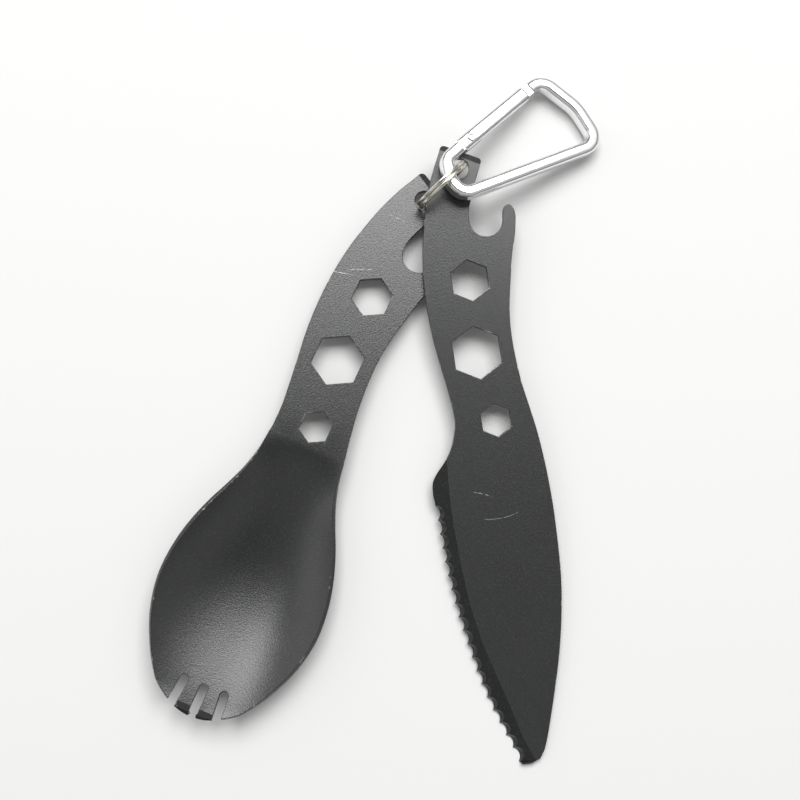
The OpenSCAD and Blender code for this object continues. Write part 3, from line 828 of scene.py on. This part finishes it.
# each scratch: its middle's x and y, its turn in degrees, and its length, bend and width
spork_marks = [(-10.1, 40.6, -8, 7, 0.01, 0.1), (5.4, 56.6, -26, 5, 0, 0.09), (-5.3, 41.8, 0, 6, -0.01, 0.08)]
knife_marks = [(29.4, -22, -14, 5.3, -0.03, 0.14), (34.4, -28.8, 11, 9.9, 0.028, 0.09)]
spork_coating = black_coating("Spork coating", spork_lay, spork_marks, 0.37, (0.23, 0.32), 1.66)
knife_coating = black_coating("Knife coating", knife_lay, knife_marks, 0.38, (0.25, 0.37), 1.78)

# %% [markdown]
# ## Bare metals
# The carabiner is bright aluminium, almost white in soft light, with a slightly greyer rivet. The ring is
# nickel plated, a touch warmer. The hidden spring and plunger are plain spring steel. All four are metals
# with their own colour and roughness, and all four take their unevenness from the same drawn metal
# effect.

# %% Build the metals
metal_depth = 0.00001


def bare_metal(name, light, dark, rough, size):
    made, tree, shader, place = material(name)
    shader.inputs["Metallic"].default_value = 1
    texture = use(tree, drawn, Place=place, Size=size)
    tree.links.new(color_mix(tree, texture["Tone"], (*dark, 1), (*light, 1)), shader.inputs["Base Color"])
    tree.links.new(float_range(tree, texture["Tone"], rough * 0.8, rough * 1.2), shader.inputs["Roughness"])
    bump = put(tree, "Bump", {"Height": texture["Height"], "Strength": 0.25, "Distance": metal_depth})
    tree.links.new(bump.outputs[0], shader.inputs["Normal"])
    return made


aluminium = bare_metal("Bright aluminium", (0.92, 0.92, 0.92), (0.85, 0.85, 0.86), 0.2, 1500)
nickel = bare_metal("Nickel plated steel", (0.8, 0.77, 0.7), (0.66, 0.63, 0.57), 0.24, 2200)
rivet_metal = bare_metal("Rivet metal", (0.74, 0.74, 0.75), (0.6, 0.6, 0.61), 0.28, 2000)
spring_steel = bare_metal("Spring steel", (0.6, 0.6, 0.6), (0.45, 0.45, 0.46), 0.3, 2600)

# %% Hand each piece its finish and its body
for piece, node, rides_on, slot, finish in (
        (spork, "spork", "spork", "black_coated_steel", spork_coating),
        (knife, "knife", "knife", "black_coated_steel", knife_coating),
        (ring, "split_ring", "ring", "nickel_steel", nickel),
        (body, "carabiner_body", "carabiner", "bright_aluminium", aluminium),
        (gate, "carabiner_gate", "gate", "bright_aluminium", aluminium),
        (rivet, "gate_rivet", "carabiner", "bright_aluminium", rivet_metal)):
    piece.data.materials.clear()
    piece.data.materials.append(finish)
    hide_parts(node)
    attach(piece, rides_on)
for node in ("spring_plunger", "gate_spring"):
    for place in frame["nodes"][node].material_slots:
        place.material = spring_steel

# %% [markdown]
# ## Table, light and camera
# A white table and one large soft lamp beyond the ring end, a little to the right. Its light reaches the
# handles' upper ends as a broad sheen and leaves the lower ends dark, and the shadows fall towards the
# bowl. A weak lamp at the left opens the shadows. The rest of the room is a grey ramp from the horizon
# up, because bright metal only looks like metal when it mirrors some dark: an even white room would leave
# it flat.

# %% Set the table
floor_mesh = bpy.data.meshes.new("table")
half = 3.0  # metres
corners = [(-half, -half, 0), (half, -half, 0), (half, half, 0), (-half, half, 0)]
floor_mesh.from_pydata(corners, [], [(0, 1, 2, 3)])
table = bpy.data.objects.new("table", floor_mesh)
bpy.context.scene.collection.objects.link(table)
paper, _, shader, _ = material("White table")
shader.inputs["Base Color"].default_value = (0.67, 0.67, 0.665, 1)
shader.inputs["Roughness"].default_value = 0.85
floor_mesh.materials.append(paper)
print("table:", 2 * half, "m square")

# %% Hang the lamps
def lamp(name, at, aim, size, power):
    """A flat soft lamp, in metres and watts."""
    data = bpy.data.lights.new(name, "AREA")
    data.shape, data.size, data.size_y, data.energy = "RECTANGLE", *size, power
    made = bpy.data.objects.new(name, data)
    bpy.context.scene.collection.objects.link(made)
    made.location = at
    made.rotation_euler = (Vector(aim) - Vector(at)).to_track_quat("-Z", "Y").to_euler()
    print(name, "lamp:", power, "W")


lamp("Window", (0.22, 1.4, 1.95), (0.22, 1.4, 0), (2.0, 1.7), 86)
lamp("Left fill", (-1.5, 0.3, 0.95), (0, 0, 0), (1.5, 1.2), 4)

# %% Shade the room
world = bpy.data.worlds.new("Room")
world.use_nodes = True
tree = world.node_tree
height = put(tree, "SeparateXYZ", {"Vector": put(tree, "TexCoord").outputs["Generated"]}).outputs["Z"]
ramp = put(tree, "ValToRGB", {"Fac": height})
# dim at the horizon, brightest part of the way up, and dim again straight above
stops = [(0, 0.05), (0.25, 0.2), (0.6, 0.55), (0.85, 0.5), (1, 0.08)]
while len(ramp.color_ramp.elements) < len(stops):
    ramp.color_ramp.elements.new(0.5)
for stop, (at, grey) in zip(ramp.color_ramp.elements, stops):
    stop.position, stop.color = at, (grey, grey, grey, 1)
tree.links.new(ramp.outputs["Color"], tree.nodes["Background"].inputs["Color"])
bpy.context.scene.world = world
bpy.context.scene.view_settings.view_transform = "Standard"
print("room brightness by height:", stops)

# %% [markdown]
# The camera looks down from nearly overhead, a little from the bowl's end. Its frame is built from its
# own side and up directions, because a track constraint can roll when the view is this steep.

# %% Place the camera
camera = bpy.data.objects.new("Camera", bpy.data.cameras.new("Camera"))
bpy.context.scene.collection.objects.link(camera)
bpy.context.scene.camera = camera
camera.location = (-0.00268, -0.01526, 0.334)
aim = Vector((0.00584, 0.00462, 0.004))
direction = aim - camera.location
side = direction.cross(Vector((0, 1, 0))).normalized()
up = side.cross(direction).normalized()
camera.rotation_euler = Matrix((side, up, -direction.normalized())).transposed().to_euler()
camera.data.lens, camera.data.sensor_width = 52.4, 36
camera.data.clip_start = 0.01
print("camera height:", round(camera.location.z, 3), "m")
